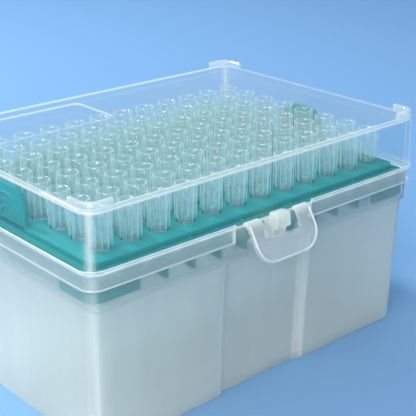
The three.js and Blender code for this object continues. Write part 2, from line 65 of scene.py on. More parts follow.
def span(node):
    """A CAD node's lowest and highest corners, in millimetres."""
    low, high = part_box(node)
    return low / MM, high / MM


BASE_LOW, BASE_HIGH = span("base")
LID_HIGH = span("lid")[1]
TRAY_HIGH = span("tray")[1]
TIP_LOW, TIP_HIGH = span("tip_A1")
LATCH_LOW, LATCH_HIGH = span("latch")


def srgb(code):
    """The linear colour of an sRGB hex value."""
    parts = [int(code[k : k + 2], 16) / 255 for k in (1, 3, 5)]
    return [c / 12.92 if c <= 0.04045 else ((c + 0.055) / 1.055) ** 2.4 for c in parts]


# ---- Sizes and colours that a user would change -------------------------------------------


def length(name, description, millimetres):
    """A length property with its default given in millimetres."""
    return bpy.props.FloatProperty(
        name=name, description=description, default=millimetres * MM, unit="LENGTH", precision=5
    )


def colour(name, description, code):
    """A colour property with its default given as an sRGB hex value."""
    return bpy.props.FloatVectorProperty(
        name=name, description=description, default=srgb(code), subtype="COLOR", min=0, max=1
    )


class TipBoxSizes(bpy.types.PropertyGroup):
    """Sizes of the moulded parts."""

    pitch: length("Tip pitch", "Distance between the middles of neighbouring tips", 9)
    base_wall: length("Base wall", "Thickness of the base's walls", 1.4)
    base_floor: length("Base floor", "Thickness of the base's floor", 1.6)
    recess_depth: length("Recess depth", "How far the long sides' panels are let in", 1.4)
    recess_half: length("Recess half width", "Half the width of those panels at the wall", 16.3)
    lid_wall: length("Lid wall", "Thickness of the lid's upper walls", 1.4)
    lid_top: length("Lid top", "Thickness of the lid's top", 1.3)
    skirt_wall: length("Skirt wall", "Thickness of the skirt that laps over the base", 1.0)
    lug_leg: length("Lug leg", "Length of each arm of the four stacking lugs", 8)
    lug_wall: length("Lug wall", "Thickness of the stacking lugs", 1.5)
    hole_radius: length("Hole radius", "Radius of the tray's holes", 2.56)
    tray_plate: length("Tray plate", "Thickness of the tray's plate", 1.5)
    rib_height: length("Rib height", "Height of the flutes on a tip's collar", 0.32)
    latch_wall: length("Latch wall", "Thickness of the latch's flap", 1.05)
    pin_radius: length("Pin radius", "Radius of the lid's hinge pins", 1.5)


class TipBoxColours(bpy.types.PropertyGroup):
    """Colours of the plastics and of the stage."""

    base: colour("Base", "Frosted polypropylene of the base", "#ECF4F1")
    lid: colour("Lid", "Clear polypropylene of the lid", "#EEF3F0")
    latch: colour("Latch", "Natural polypropylene of the latch and its catch", "#EEF3F0")
    tray: colour("Tray", "Teal polypropylene of the tray", "#0C8B8A")
    tip: colour("Tips", "Clear polypropylene of the tips", "#D2ECEC")
    floor: colour("Floor", "Paper that the box stands on", "#6E98C0")


def mm(value):
    """A length property's value in millimetres."""
    return value / MM


# ---- Shapes -------------------------------------------------------------------------------

ARC_STEPS = 8

# The band round the base's rim: half its length and width, its corners and its top.
LENGTH_OVER_WIDTH = 17.15
BAND_HALF = (BASE_HIGH.x, BASE_HIGH.x - LENGTH_OVER_WIDTH)
BAND_RADIUS = 3.6
BAND_HEIGHT = 9.5
RIM_Z = 50.8

# Below the shoulder the walls step in, and then draw in by TAPER towards the foot.
SHOULDER_Z = RIM_Z - BAND_HEIGHT
SHOULDER_STEP = 0.8
TAPER = (0.4, 2.0)
RECESS_SLANT = 3.0

# The edge value that takes all the milk out of a frosted wall.
CLEAR = -0.58

# How far the grid of tips sits off the middle, towards +X.
GRID_SHIFT = 1.3


def eased(points, radius, steps=3):
    """An open run of 2-D points, each inner corner turned into a short curve."""
    run = [points[0]]
    for before, here, after in zip(points, points[1:], points[2:]):
        here = Vector(here)
        ends = []
        for other in (before, after):
            away = Vector(other) - here
            ends.append(here + away * min(radius / max(away.length, 1e-6), 0.48))
        for k in range(steps + 1):
            t = k / steps
            run.append(tuple(ends[0] * (1 - t) ** 2 + here * 2 * t * (1 - t) + ends[1] * t * t))
    return run + [points[-1]]


def outline(half, radius, long_run=(), short_run=()):
    """Points counter-clockwise round a rectangle with rounded corners.

    A run is a list of (along, inward) places on the sides, given for the front or right side.
    """
    points = []
    for turn in range(4):
        along, out = (half[0], half[1]) if turn % 2 == 0 else (half[1], half[0])
        quarter = Matrix.Rotation(turn * math.pi / 2, 2)
        side = [(u, inward - out) for u, inward in (short_run if turn % 2 else long_run)]
        for k in range(ARC_STEPS + 1):
            angle = math.radians(-90 + 90 * k / ARC_STEPS)
            side.append(
                (
                    along - radius + radius * math.cos(angle),
                    radius - out + radius * math.sin(angle),
                )
            )
        points += [tuple(quarter @ Vector(p)) for p in side]
    return points


def arc(centre, radius, start, end, steps):
    """2-D points on an arc, angles in degrees."""
    return [
        (
            centre[0] + radius * math.cos(math.radians(start + (end - start) * k / steps)),
            centre[1] + radius * math.sin(math.radians(start + (end - start) * k / steps)),
        )
        for k in range(steps + 1)
    ]


def skin(bm, rings, loop=False):
    """Faces through a list of (points, edge) rings, closed by caps or into a loop.

    The edge value says how much of the light a wall pipes out at that place.
    """
    shine = bm.verts.layers.float.get("edge") or bm.verts.layers.float.new("edge")
    rows = []
    for points, edge in rings:
        row = [bm.verts.new(Vector(p) * MM) for p in points]
        for vert in row:
            vert[shine] = edge
        rows.append(row)
    pairs = list(zip(rows, rows[1:])) + ([(rows[-1], rows[0])] if loop else [])
    for low, high in pairs:
        for k in range(len(low)):
            n = (k + 1) % len(low)
            bm.faces.new((low[k], low[n], high[n], high[k]))
    if not loop:
        bm.faces.new(rows[0][::-1])
        bm.faces.new(rows[-1])


def level(points, z):
    """2-D points lifted to a height."""
    return [(x, y, z) for x, y in points]


def border(bm, profile, half, radius, long_run=(), short_run=(), first=0, count=None):
    """A profile of (outward, z, edge) corners carried round a rounded rectangle.

    It closes on itself, or runs over `count` of the outline's points from the point `first`.
    """
    rings = [
        level(outline((half[0] + out, half[1] + out), radius + out, long_run, short_run), z)
        for out, z, edge in profile
    ]
    total = len(rings[0])
    edges = [edge for out, z, edge in profile]
    sections = []
    for k in range(total if count is None else count):
        sections.append([ring[(first + k) % total] for ring in rings])
    shine = bm.verts.layers.float.get("edge") or bm.verts.layers.float.new("edge")
    rows = [[bm.verts.new(Vector(p) * MM) for p in section] for section in sections]
    for row in rows:
        for vert, edge in zip(row, edges):
            vert[shine] = edge
    pairs = list(zip(rows, rows[1:])) + ([(rows[-1], rows[0])] if count is None else [])
    for here, there in pairs:
        for k in range(len(here)):
            n = (k + 1) % len(here)
            bm.faces.new((here[k], there[k], there[n], here[n]))
    if count is not None:
        bm.faces.new(rows[0])
        bm.faces.new(rows[-1][::-1])


def plate(bm, boundary, thickness, bevel, holes=(), place=Matrix.Identity(4), cuts=0):
    """A flat moulding with rounded edges, drawn in its own XY plane and then put in place."""
    curve = bpy.data.curves.new("plate", "CURVE")
    curve.dimensions = "2D"
    curve.fill_mode = "BOTH"
    curve.extrude = thickness / 2 - bevel
    curve.bevel_depth = bevel
    curve.bevel_resolution = 1
    curve.offset = -bevel
    for ring in (boundary, *holes):
        spline = curve.splines.new("POLY")
        spline.points.add(len(ring) - 1)
        for point, (x, y) in zip(spline.points, ring):
            point.co = (x, y, 0, 1)
        spline.use_cyclic_u = True
    helper = bpy.data.objects.new("plate", curve)
    bpy.context.scene.collection.objects.link(helper)
    bpy.context.view_layer.update()
    shaped = helper.evaluated_get(bpy.context.evaluated_depsgraph_get())
    mesh = bpy.data.meshes.new_from_object(shaped)
    bpy.data.objects.remove(helper)
    bpy.data.curves.remove(curve)
    part = bmesh.new()
    part.from_mesh(mesh)
    bpy.data.meshes.remove(mesh)
    bmesh.ops.remove_doubles(part, verts=part.verts, dist=1e-4)
    low = min(v.co.y for v in part.verts)
    high = max(v.co.y for v in part.verts)
    for k in range(1, cuts):
        bmesh.ops.bisect_plane(
            part,
            geom=part.verts[:] + part.edges[:] + part.faces[:],
            plane_co=(0, low + (high - low) * k / cuts, 0),
            plane_no=(0, 1, 0),
        )
    bmesh.ops.transform(part, matrix=place, verts=part.verts)
    add_to(bm, part)


def add_to(bm, part):
    """Adds a part drawn in millimetres to a piece, and frees it."""
    bmesh.ops.transform(part, matrix=Matrix.Scale(MM, 4), verts=part.verts)
    mesh = bpy.data.meshes.new("part")
    part.to_mesh(mesh)
    part.free()
    bm.from_mesh(mesh)
    bpy.data.meshes.remove(mesh)


def across(x):
    """Places a plate drawn as (y, z) with its thickness along X and its middle at x."""
    return Matrix(((0, 0, 1, x), (1, 0, 0, 0), (0, 1, 0, 0), (0, 0, 0, 1)))


ROD_EDGE = 0.8
ROD_SIDES = 8


def rod(bm, path, radius):
    """A round bead along an open path of points, closed at its ends."""
    rings = []
    path = [Vector(p) for p in path]
    for k, here in enumerate(path):
        run = (path[min(k + 1, len(path) - 1)] - path[max(k - 1, 0)]).normalized()
        side = run.orthogonal() if k == 0 else side - run * side.dot(run)
        side.normalize()
        other = run.cross(side)
        ring = []
        for j in range(ROD_SIDES):
            angle = 2 * math.pi * j / ROD_SIDES
            ring.append(here + (side * math.cos(angle) + other * math.sin(angle)) * radius)
        rings.append((ring, ROD_EDGE))
    skin(bm, rings)


# A painted highlight up each rounded corner: how far in from each face it starts, the middle
# that it leaves out, and the angle over which it fades.
CORNER_ZONE = 4.6
CORNER_HOLLOW = 1.5
CORNER_SPREAD = 14


def paint_corner_highlights(bm, half, amount, low, high):
    """Paints a highlight up a narrow upright strip at each rounded corner, between heights, by
    raising the edge value.
    """
    shine = bm.verts.layers.float["edge"]
    for vert in bm.verts:
        if not low < vert.co.z / MM < high:
            continue
        x = abs(vert.co.x) / MM - half[0] + CORNER_ZONE
        y = abs(vert.co.y) / MM - half[1] + CORNER_ZONE
        if x > 0 and y > 0 and math.hypot(x, y) > CORNER_HOLLOW:
            off = math.degrees(math.atan2(y, x)) - 45
            more = amount * math.exp(-((off / CORNER_SPREAD) ** 2))
            vert[shine] = min(vert[shine] + more, 1.0)


def piece(bm, name, material, body, stands_for=(), angle=38):
    """Turns a built mesh into a piece that rides on a body."""
    bmesh.ops.recalc_face_normals(bm, faces=bm.faces)
    mesh = bpy.data.meshes.new(name)
    bm.to_mesh(mesh)
    bm.free()
    mesh.materials.append(material)
    mesh.shade_smooth()
    mesh.set_sharp_from_angle(angle=math.radians(angle))
    if "edge" not in mesh.attributes:
        mesh.attributes.new("edge", "FLOAT", "POINT")
    return placed(mesh, name, body, stands_for)


def placed(mesh, name, body, stands_for=(), at=(0, 0, 0)):
    """An object of a mesh, riding on a body and standing for the CAD nodes it replaces."""
    obj = bpy.data.objects.new(name, mesh)
    bpy.context.scene.collection.objects.link(obj)
    obj.location = Vector(at) * MM
    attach(obj, body)
    if stands_for:
        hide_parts(*stands_for)
    return obj


# ---- Materials ----------------------------------------------------------------------------


def add_node(tree, kind, inputs=None, **settings):
    """Adds one node, with its settings, its input values and the links into it."""
    node = tree.nodes.new(kind)
    for key, value in settings.items():
        setattr(node, key, value)
    for key, value in (inputs or {}).items():
        if isinstance(value, bpy.types.NodeSocket):
            tree.links.new(value, node.inputs[key])
        else:
            node.inputs[key].default_value = value
    return node


def new_material(name):
    """An empty node material and its output node."""
    material = bpy.data.materials.new(name)
    material.use_nodes = True
    material.node_tree.nodes.clear()
    output = material.node_tree.nodes.new("ShaderNodeOutputMaterial")
    return material, material.node_tree, output


def rgba(value):
    """A colour property as four numbers."""
    return (*value, 1.0)


def moulding_noise(tree, millimetres, detail=2.0):
    """Noise in the object's own space, with features of a given size."""
    where = add_node(tree, "ShaderNodeTexCoord").outputs["Object"]
    return add_node(
        tree,
        "ShaderNodeTexNoise",
        {"Vector": where, "Scale": 1 / (millimetres * MM), "Detail": detail},
    ).outputs["Fac"]


def clear_plastic(name, tint, haze, rim, side, power, gleam, roughness, cloud, grain):
    """Clear polypropylene: a tinted window with a milky share that grows at edges and at a slant.

    haze: the milk of a wall seen square on. It veils what is behind the wall.
    rim: the milk that the edge value adds. It draws rims, beads and flutes as pale lines.
    side, power: the milk that a slant adds, and how late it comes. It outlines round walls.
    gleam, roughness: the mirror share and its blur. They give each tip's rim its bright dot.
    cloud, grain: uneven milk, and the size in millimetres of the faint ripple in the skin.
    """
    material, tree, output = new_material(name)
    facing = add_node(tree, "ShaderNodeLayerWeight", {"Blend": 0.5}).outputs["Facing"]
    edge = add_node(tree, "ShaderNodeAttribute", attribute_name="edge").outputs["Fac"]
    slant = add_node(tree, "ShaderNodeMath", {0: facing, 1: power}, operation="POWER").outputs[0]
    milk = add_node(
        tree, "ShaderNodeMath", {0: slant, 1: side, 2: haze}, operation="MULTIPLY_ADD"
    ).outputs[0]
    milk = add_node(
        tree, "ShaderNodeMath", {0: edge, 1: rim, 2: milk}, operation="MULTIPLY_ADD"
    ).outputs[0]
    milk = add_node(
        tree,
        "ShaderNodeMath",
        {0: moulding_noise(tree, 14), 1: cloud, 2: milk},
        operation="MULTIPLY_ADD",
        use_clamp=True,
    ).outputs[0]
    bump = add_node(
        tree,
        "ShaderNodeBump",
        {"Height": moulding_noise(tree, grain), "Strength": 0.06, "Distance": 0.0002},
    ).outputs["Normal"]
    window = add_node(tree, "ShaderNodeBsdfTransparent", {"Color": (0.97, 0.985, 0.985, 1)})
    front = add_node(tree, "ShaderNodeBsdfDiffuse", {"Color": rgba(tint)})
    through = add_node(tree, "ShaderNodeBsdfTranslucent", {"Color": rgba(tint)})
    body = add_node(
        tree, "ShaderNodeMixShader", {0: 0.5, 1: front.outputs[0], 2: through.outputs[0]}
    )
    wall = add_node(
        tree, "ShaderNodeMixShader", {0: milk, 1: window.outputs[0], 2: body.outputs[0]}
    )
    fifth = add_node(tree, "ShaderNodeMath", {0: facing, 1: 5.0}, operation="POWER").outputs[0]
    shine = add_node(
        tree, "ShaderNodeMath", {0: fifth, 1: 0.2, 2: gleam}, operation="MULTIPLY_ADD"
    ).outputs[0]
    gloss = add_node(
        tree,
        "ShaderNodeBsdfAnisotropic",
        {"Color": (1, 1, 1, 1), "Roughness": roughness, "Normal": bump},
    )
    surface = add_node(
        tree, "ShaderNodeMixShader", {0: shine, 1: wall.outputs[0], 2: gloss.outputs[0]}
    )
    tree.links.new(surface.outputs[0], output.inputs["Surface"])
    return material


def frosted_plastic(name, tint):
    """Frosted polypropylene: a fine matt mould face that blurs what is behind it at once.

    The eye sees a pale grey tub with soft shapes inside, and whiter rims and corners.
    """
    material, tree, output = new_material(name)
    edge = add_node(tree, "ShaderNodeAttribute", attribute_name="edge").outputs["Fac"]
    where = add_node(tree, "ShaderNodeTexCoord").outputs["Object"]
    long = add_node(tree, "ShaderNodeMapping", {"Vector": where, "Scale": (1, 1, 0.12)}).outputs[0]
    # The melt ran up the walls, and left faint upright streaks.
    flow = add_node(
        tree, "ShaderNodeTexNoise", {"Vector": long, "Scale": 180, "Detail": 3}
    ).outputs["Fac"]
    shade = add_node(
        tree,
        "ShaderNodeMix",
        {"Factor": flow, "A": rgba([c * 0.9 for c in tint]), "B": rgba(tint)},
        data_type="RGBA",
    ).outputs["Result"]
    bump = add_node(
        tree,
        "ShaderNodeBump",
        # The spark-eroded face is finer than 0.1 mm: it is drawn coarser so that it shows.
        {"Height": moulding_noise(tree, 0.5), "Strength": 0.12, "Distance": 0.0001},
    ).outputs["Normal"]
    frost = add_node(
        tree,
        "ShaderNodeBsdfPrincipled",
        {
            "Base Color": shade,
            "Roughness": 0.21,
            "IOR": 1.49,
            "Transmission Weight": 0.92,
            "Normal": bump,
        },
    )
    front = add_node(tree, "ShaderNodeBsdfDiffuse", {"Color": shade})
    through = add_node(tree, "ShaderNodeBsdfTranslucent", {"Color": shade})
    milk = add_node(
        tree, "ShaderNodeMixShader", {0: 0.45, 1: front.outputs[0], 2: through.outputs[0]}
    )
    # Rims and corners pipe light along the wall, so they are milkier than a flat wall.
    piped, flat = 0.5, 0.29
    share = add_node(
        tree,
        "ShaderNodeMath",
        {0: edge, 1: piped, 2: flat},
        operation="MULTIPLY_ADD",
        use_clamp=True,
    ).outputs[0]
    lit = add_node(tree, "ShaderNodeMixShader", {0: share, 1: frost.outputs[0], 2: milk.outputs[0]})
    # Light passes the walls on its way in, so the inside of the tub isn't black.
    window = add_node(tree, "ShaderNodeBsdfTransparent", {"Color": (0.93, 0.96, 0.97, 1)})
    shadow = add_node(tree, "ShaderNodeLightPath").outputs["Is Shadow Ray"]
    pane = add_node(tree, "ShaderNodeMath", {0: shadow, 1: 0.8}, operation="MULTIPLY").outputs[0]
    surface = add_node(
        tree, "ShaderNodeMixShader", {0: pane, 1: lit.outputs[0], 2: window.outputs[0]}
    )
    tree.links.new(surface.outputs[0], output.inputs["Surface"])
    return material


def satin_plastic(name, tint):
    """Coloured polypropylene with a satin mould face.

    The eye sees an even, solid teal, faintly waxy at its edges, with little shine.
    """
    material, tree, output = new_material(name)
    cloud = moulding_noise(tree, 9)
    shade = add_node(
        tree,
        "ShaderNodeMix",
        {"Factor": cloud, "A": rgba([c * 0.92 for c in tint]), "B": rgba(tint)},
        data_type="RGBA",
    )
    bump = add_node(
        tree,
        "ShaderNodeBump",
        {"Height": moulding_noise(tree, 0.6), "Strength": 0.1, "Distance": 0.0001},
    ).outputs["Normal"]
    shader = add_node(
        tree,
        "ShaderNodeBsdfPrincipled",
        {
            "Base Color": shade.outputs["Result"],
            "Roughness": 0.4,
            "IOR": 1.49,
            "Specular IOR Level": 0.2,
            "Subsurface Weight": 0.25,
            "Subsurface Radius": (0.4, 1.0, 1.0),
            "Subsurface Scale": 0.001,
            "Normal": bump,
        },
    )
    tree.links.new(shader.outputs[0], output.inputs["Surface"])
    return material


# ---- Pieces -------------------------------------------------------------------------------


def fail(operator, reason):
    """Stops the script: a cancelled operator alone wouldn't."""
    raise RuntimeError(f"{operator.bl_label}: {reason}")


# The panels' edges on the inside of the wall stand this much further out than on the outside.
RECESS_GROW = 0.2


def tub_rings(sizes):
    """Rings up the outside of the base, over its rim and down the inside."""
    wall, floor = mm(sizes.base_wall), mm(sizes.base_floor)
    depth, reach = mm(sizes.recess_depth), mm(sizes.recess_half)

    def run(dent, grow=0.0):
        """The long sides' course, let in by a dent between the panel's edges."""
        knees = [
            (-reach - 6, 0),
            (-reach - grow, 0),
            (RECESS_SLANT - reach - grow, dent),
            (reach + grow - RECESS_SLANT, dent),
            (reach + grow, 0),
            (reach + 6, 0),
        ]
        return eased(knees, 0.8)

    def body(z, inset, edge=0.0, grow=0.0):
        """A ring of the tapered walls below the shoulder."""
        half = [
            whole - SHOULDER_STEP - inset - taper * (1 - z / SHOULDER_Z)
            for whole, taper in zip(BAND_HALF, TAPER)
        ]
        return level(outline(half, max(BAND_RADIUS - inset, 0.5), run(depth, grow)), z), edge

    def band(z, inset, edge=0.0):
        """A ring of the upright band above the shoulder."""
        half = (BAND_HALF[0] - inset, BAND_HALF[1] - inset)
        return level(outline(half, BAND_RADIUS - inset, run(0.0)), z), edge

    rings = [body(0.0, 1.3), body(0.06, 0.8), body(0.3, 0.33), body(0.75, 0.06), body(1.3, 0.0)]
    step = SHOULDER_Z
    rings += [body(z, 0.0) for z in (10, 20, 30, step - 0.9)]
    rings += [body(step - 0.3, -0.02), body(step - 0.05, -0.15, 0.2)]
    rings += [band(step + 0.12, 0.3, 0.2), band(step + 0.35, 0.07, 0.3)]
    rings += [band(step + 0.8, 0.0, CLEAR)]
    rings += [band(RIM_Z - 4, 0.0, CLEAR), band(RIM_Z - 0.5, 0.0), band(RIM_Z - 0.15, 0.08, 0.6)]
    rings += [band(RIM_Z, 0.35, 1.0), band(RIM_Z, wall - 0.35, 1.0)]
    rings += [band(RIM_Z - 0.15, wall - 0.08, 0.6), band(RIM_Z - 0.5, wall, CLEAR)]
    ledge = SHOULDER_Z + wall
    rings += [band(ledge + 0.2, wall, CLEAR), band(ledge, wall + 0.2)]
    inside = [(ledge, 0), (ledge - 0.4, 0.1), (30, 0), (20, 0), (10, 0)]
    inside += [(floor + 1.2, 0), (floor + 0.35, 0.35), (floor, 1.2)]
    return rings + [body(z, wall + inset, 0.0, RECESS_GROW) for z, inset in inside]


# The hinge: its axis, the middles of its two stations, and the ears that hold each pin.
PIN_Y = BAND_HALF[1] + 3.45
PIN_Z = 46.7
HINGE_STATIONS = (-35.0, 35.0)
KNUCKLE_HALF = 6.2
HINGE_GAP = 0.3
EAR_WALL = 2.0
EAR_RADIUS = 1.8

# The catch: its head is narrower than its neck, and below the waist the neck narrows too.
CATCH_WIDTH = 5.1
CATCH_WAIST = 0.6
HEAD_SHARE = 0.13
NECK_SHARE = 0.16
CATCH_EDGE = 0.25


class TIPBOX_OT_base(bpy.types.Operator):
    """Builds the frosted base with its rim, recessed panels, latch catch and hinge pins"""

    bl_idname = "tipbox.base"
    bl_label = "Base"

    def execute(self, context):
        sizes, colours = context.scene.tip_box_sizes, context.scene.tip_box_colours
        frost = frosted_plastic("frosted_polypropylene_base", colours.base)
        bm = bmesh.new()
        skin(bm, tub_rings(sizes))
        if not bm.faces:
            fail(self, "the tub has no faces")
        # A painted highlight up each corner of the tub.
        paint_corner_highlights(bm, BAND_HALF, 0.35, 2, RIM_Z)
        # Painted highlights along the panels' upright edges.
        self.paint_panel_highlights(bm, mm(sizes.recess_half))
        piece(bm, "base_tub", frost, "base", ("base",), 30)
        self.catch(frost)
        self.hinge(frost, sizes)
        return {"FINISHED"}

    def paint_panel_highlights(self, bm, reach):
        """Paints highlights along the upright edges of the long sides' panels by raising the edge
        value there, and lowers it a little on each panel.
        """
        shine = bm.verts.layers.float["edge"]
        creases = ((reach - 0.2, 0.7), (reach + 0.3 - RECESS_SLANT, 0.1))
        spread, panel_less = 0.4, 0.07
        for vert in bm.verts:
            x, y, z = (abs(value) / MM for value in vert.co)
            if y > BAND_HALF[1] - 7 and 1 < z < SHOULDER_Z:
                if x < reach - 2.8:
                    vert[shine] -= panel_less
                for crease, amount in creases:
                    vert[shine] += amount * math.exp(-(((x - crease) / spread) ** 2))

    def catch(self, material):
        """The catch: a nosed head on a wider neck that narrows towards its foot."""
        nose, top, under = BASE_LOW.y, BASE_HIGH.z, RIM_Z - 1.7
        root = -BAND_HALF[1] - 1.35
        profile = [
            (-BAND_HALF[1] + 0.7, under - 4.2),
            (root + 0.2, under - 3.9),
            (nose + 2.0, under - 2.8),
            (nose + 1.4, under - 0.4),
            (nose + 1.1, under),
            (nose + 0.25, under),
            (nose, under + 0.4),
            (nose, top - 0.7),
            (nose + 0.6, top),
            (nose + 2.6, top),
            (root, top - 0.4),
            (root, RIM_Z - 0.3),
            (-BAND_HALF[1] + 0.7, RIM_Z - 0.3),
        ][::-1]
        bm = bmesh.new()
        plate(bm, profile, CATCH_WIDTH, 0.2, place=across(0))
        shine = bm.verts.layers.float.new("edge")
        for vert in bm.verts:
            vert[shine] = CATCH_EDGE
            over = vert.co.z / MM - RIM_Z
            if over > -CATCH_WAIST:
                vert.co.x *= 1 - HEAD_SHARE * min((over + CATCH_WAIST) / 0.9, 1)
            else:
                vert.co.x *= 1 - NECK_SHARE * min((-CATCH_WAIST - over) / 9, 1)
        piece(bm, "base_catch", material, "base")

    def hinge(self, material, sizes):
        """Two ears and a pin at each hinge station."""
        bm = bmesh.new()
        sunk = BAND_HALF[1] - 0.6
        ear = [(sunk, SHOULDER_Z + 0.6), (BAND_HALF[1], SHOULDER_Z + 0.6)]
        ear += arc((PIN_Y, PIN_Z), EAR_RADIUS, -50, 135, 10)
        ear += [(PIN_Y - EAR_RADIUS, PIN_Z + 0.2), (sunk, PIN_Z + 0.2)]
        pin = arc((PIN_Y, PIN_Z), mm(sizes.pin_radius), 0, 345, 23)
        for x in HINGE_STATIONS:
            for side in (-1, 1):
                middle = x + side * (KNUCKLE_HALF + HINGE_GAP + EAR_WALL / 2)
                plate(bm, ear, EAR_WALL, 0.25, place=across(middle))
            plate(bm, pin, 2 * (KNUCKLE_HALF + HINGE_GAP) + EAR_WALL, 0.1, place=across(x))
        piece(bm, "base_hinge_pins", material, "base")


TRAY_RADIUS = 1.9
TRAY_WALL = 1.2

# The platform with the holes, and the flange round it.
PLATFORM_RISE = 1.6
PLATFORM_INSET = 1.8
PLATFORM_RADIUS = 2.8
FLANGE_HEIGHT = 1.2
FLANGE_WIDTH = 2.6
SKIRT_DEPTH = 3.7

# The feet stand on the ledge inside the base, and reach this far along each side.
FOOT_RISE = 1.7
FOOT_HEIGHT = 3.2
FOOT_REACH = (13.8, 13.0)
GUSSET_WALL = 1.1
GUSSET_FROM_ROW = 3.3
TAB_WALL = 1.4


class TIPBOX_OT_tray(bpy.types.Operator):
    """Builds the teal tray with its ninety-six holes, skirt, feet, ribs and grip tabs"""

    bl_idname = "tipbox.tray"
    bl_label = "Tray"

    def execute(self, context):
        sizes, colours = context.scene.tip_box_sizes, context.scene.tip_box_colours
        teal = satin_plastic("satin_teal_polypropylene_tray", colours.tray)
        pitch, plate_wall = mm(sizes.pitch), mm(sizes.tray_plate)
        half = (TRAY_HIGH.x, TRAY_HIGH.y)
        top = RIM_Z + PLATFORM_RISE
        under = top - plate_wall
        flange, foot = under - FLANGE_HEIGHT, SHOULDER_Z + FOOT_RISE
        bm = bmesh.new()
        holes = [arc(place, mm(sizes.hole_radius), 0, 345, 23) for place in grid(pitch)]
        edge = outline((half[0] - PLATFORM_INSET, half[1] - PLATFORM_INSET), PLATFORM_RADIUS)
        middle = Matrix.Translation((0, 0, top - plate_wall / 2))
        plate(bm, edge, plate_wall, 0.15, holes, middle)
        lip = [(0, flange, 0), (0, under - 0.1, 0), (-0.1, under, 0)]
        lip += [(-FLANGE_WIDTH, under, 0), (-FLANGE_WIDTH, flange, 0)]
        border(bm, lip, half, TRAY_RADIUS)
        border(bm, self.wall(flange - SKIRT_DEPTH, flange + 0.1), half, TRAY_RADIUS)
        self.feet(bm, half, foot)
        inner = 3.5 * pitch + GUSSET_FROM_ROW
        for column in range(11):
            x = (column - 5) * pitch + GRID_SHIFT
            if abs(x) < half[0] - FOOT_REACH[0]:
                for side in (-1, 1):
                    rib = [(inner, foot), (half[1] - 0.6, foot)]
                    rib += [(half[1] - 0.6, under + 0.3), (inner, under + 0.3)]
                    rib = [(side * y, z) for y, z in rib]
                    plate(bm, rib, GUSSET_WALL, 0.15, place=across(x))
        self.tabs(bm, half)
        piece(bm, "tray_rack", teal, "base", ("tray",), 32)
        return {"FINISHED"}

    def wall(self, low, high):
        """The section of an upright wall between two heights."""
        return [(0, low, 0), (0, high, 0), (-TRAY_WALL, high, 0), (-TRAY_WALL, low, 0)]

    def feet(self, bm, half, foot):
        """Corner feet that stand on the ledge inside the base."""
        runs = [
            [(reach - whole, 0), (whole - reach, 0)] for whole, reach in zip(half, FOOT_REACH)
        ]
        section = self.wall(foot, foot + FOOT_HEIGHT)
        step = ARC_STEPS + 3
        for corner in range(4):
            border(bm, section, half, TRAY_RADIUS, *runs, first=corner * step + 1, count=step)

    def tabs(self, bm, half):
        """Upright grip tabs in the middle of the short sides, with raised finger arcs."""
        top, reach, radius = TRAY_HIGH.z, 8.3, 5.5
        shape = [(-reach, RIM_Z + 0.4), (reach, RIM_Z + 0.4)]
        shape += arc((reach - radius, top - radius), radius, 0, 90, 8)
        shape += arc((radius - reach, top - radius), radius, 90, 180, 8)
        for side in (-1, 1):
            face = side * (half[0] - PLATFORM_INSET)
            plate(bm, shape, TAB_WALL, 0.25, place=across(face - side * TAB_WALL / 2))
            for bow in (3.0, 4.9, 6.8):
                curve = arc((0, top - 9.4), bow, 12, 168, 12)
                rod(bm, [(face + side * 0.02, y, z) for y, z in curve], 0.4)


TIP_SIDES = 72

# A flute's height over the sides that it spans, and the milk along its crest: where it starts
# above the tip's end, how far up it runs, and the radius that only the crest passes.
FLUTE = (1, 0.5, 0, 0, 0, 0.5)
FLUTE_LOW = 40.3
FLUTE_LENGTH = 6.2
FLUTE_REACH = 2.93
FLUTE_MILK = 0.9


def grid(pitch):
    """The middles of the ninety-six places, row by row from the back."""
    return [
        ((c - 5.5) * pitch + GRID_SHIFT, (3.5 - r) * pitch) for r in range(8) for c in range(12)
    ]


